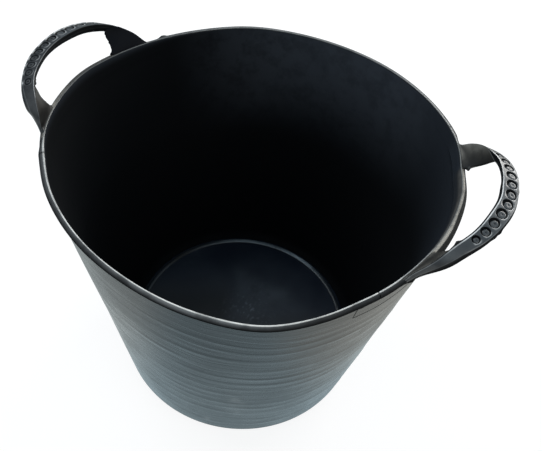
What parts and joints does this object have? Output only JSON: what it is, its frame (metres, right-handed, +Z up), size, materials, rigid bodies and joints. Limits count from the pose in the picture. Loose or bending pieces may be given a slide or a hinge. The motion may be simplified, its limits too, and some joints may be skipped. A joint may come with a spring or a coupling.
{
  "type": "flexible tub",
  "caption": "Round tapered flexible tub in black moulded plastic, with a proud rim band and strap handles that stand up and out from the rim and bend inwards for carrying.",
  "frame": {"origin": "centre of the face that the tub stands on", "axes": "+Z up, the two handles on +X and -X"},
  "size_m": [0.468, 0.394, 0.3568],
  "materials": {
    "tub_plastic": "satin black polyethylene with fine turned rings from the mould",
    "rim_plastic": "satin black polyethylene, rubbed smooth along the edge",
    "handle_plastic": "satin black polyethylene, smooth from the mould and handling"
  },
  "bodies": {
    "tub": {"tub_wall": "tub_plastic", "floor_panel": "tub_plastic", "floor_ring": "tub_plastic", "foot_ring": "tub_plastic", "rim_bead_front": "rim_plastic", "rim_bead_back": "rim_plastic", "right_handle_rim": "rim_plastic", "left_handle_rim": "rim_plastic", "right_handle_root_front": "handle_plastic", "right_handle_root_back": "handle_plastic", "left_handle_root_front": "handle_plastic", "left_handle_root_back": "handle_plastic"},
    "right_handle": {"right_handle_grip": "handle_plastic"},
    "left_handle": {"left_handle_grip": "handle_plastic"}
  },
  "joints": [
    {"name": "right_handle_bend", "type": "hinge", "parent": "tub", "child": "right_handle", "pos_m": [0.1707, 0, 0.3214], "axis": [0, -1, 0], "range_deg": [-15, 60], "stiffness_Nm_per_rad": 6, "deforming": ["right_handle_root_front", "right_handle_root_back"]},
    {"name": "left_handle_bend", "type": "hinge", "parent": "tub", "child": "left_handle", "pos_m": [-0.1707, 0, 0.3214], "axis": [0, 1, 0], "range_deg": [-15, 60], "stiffness_Nm_per_rad": 6, "deforming": ["left_handle_root_front", "left_handle_root_back"]}
  ]
}
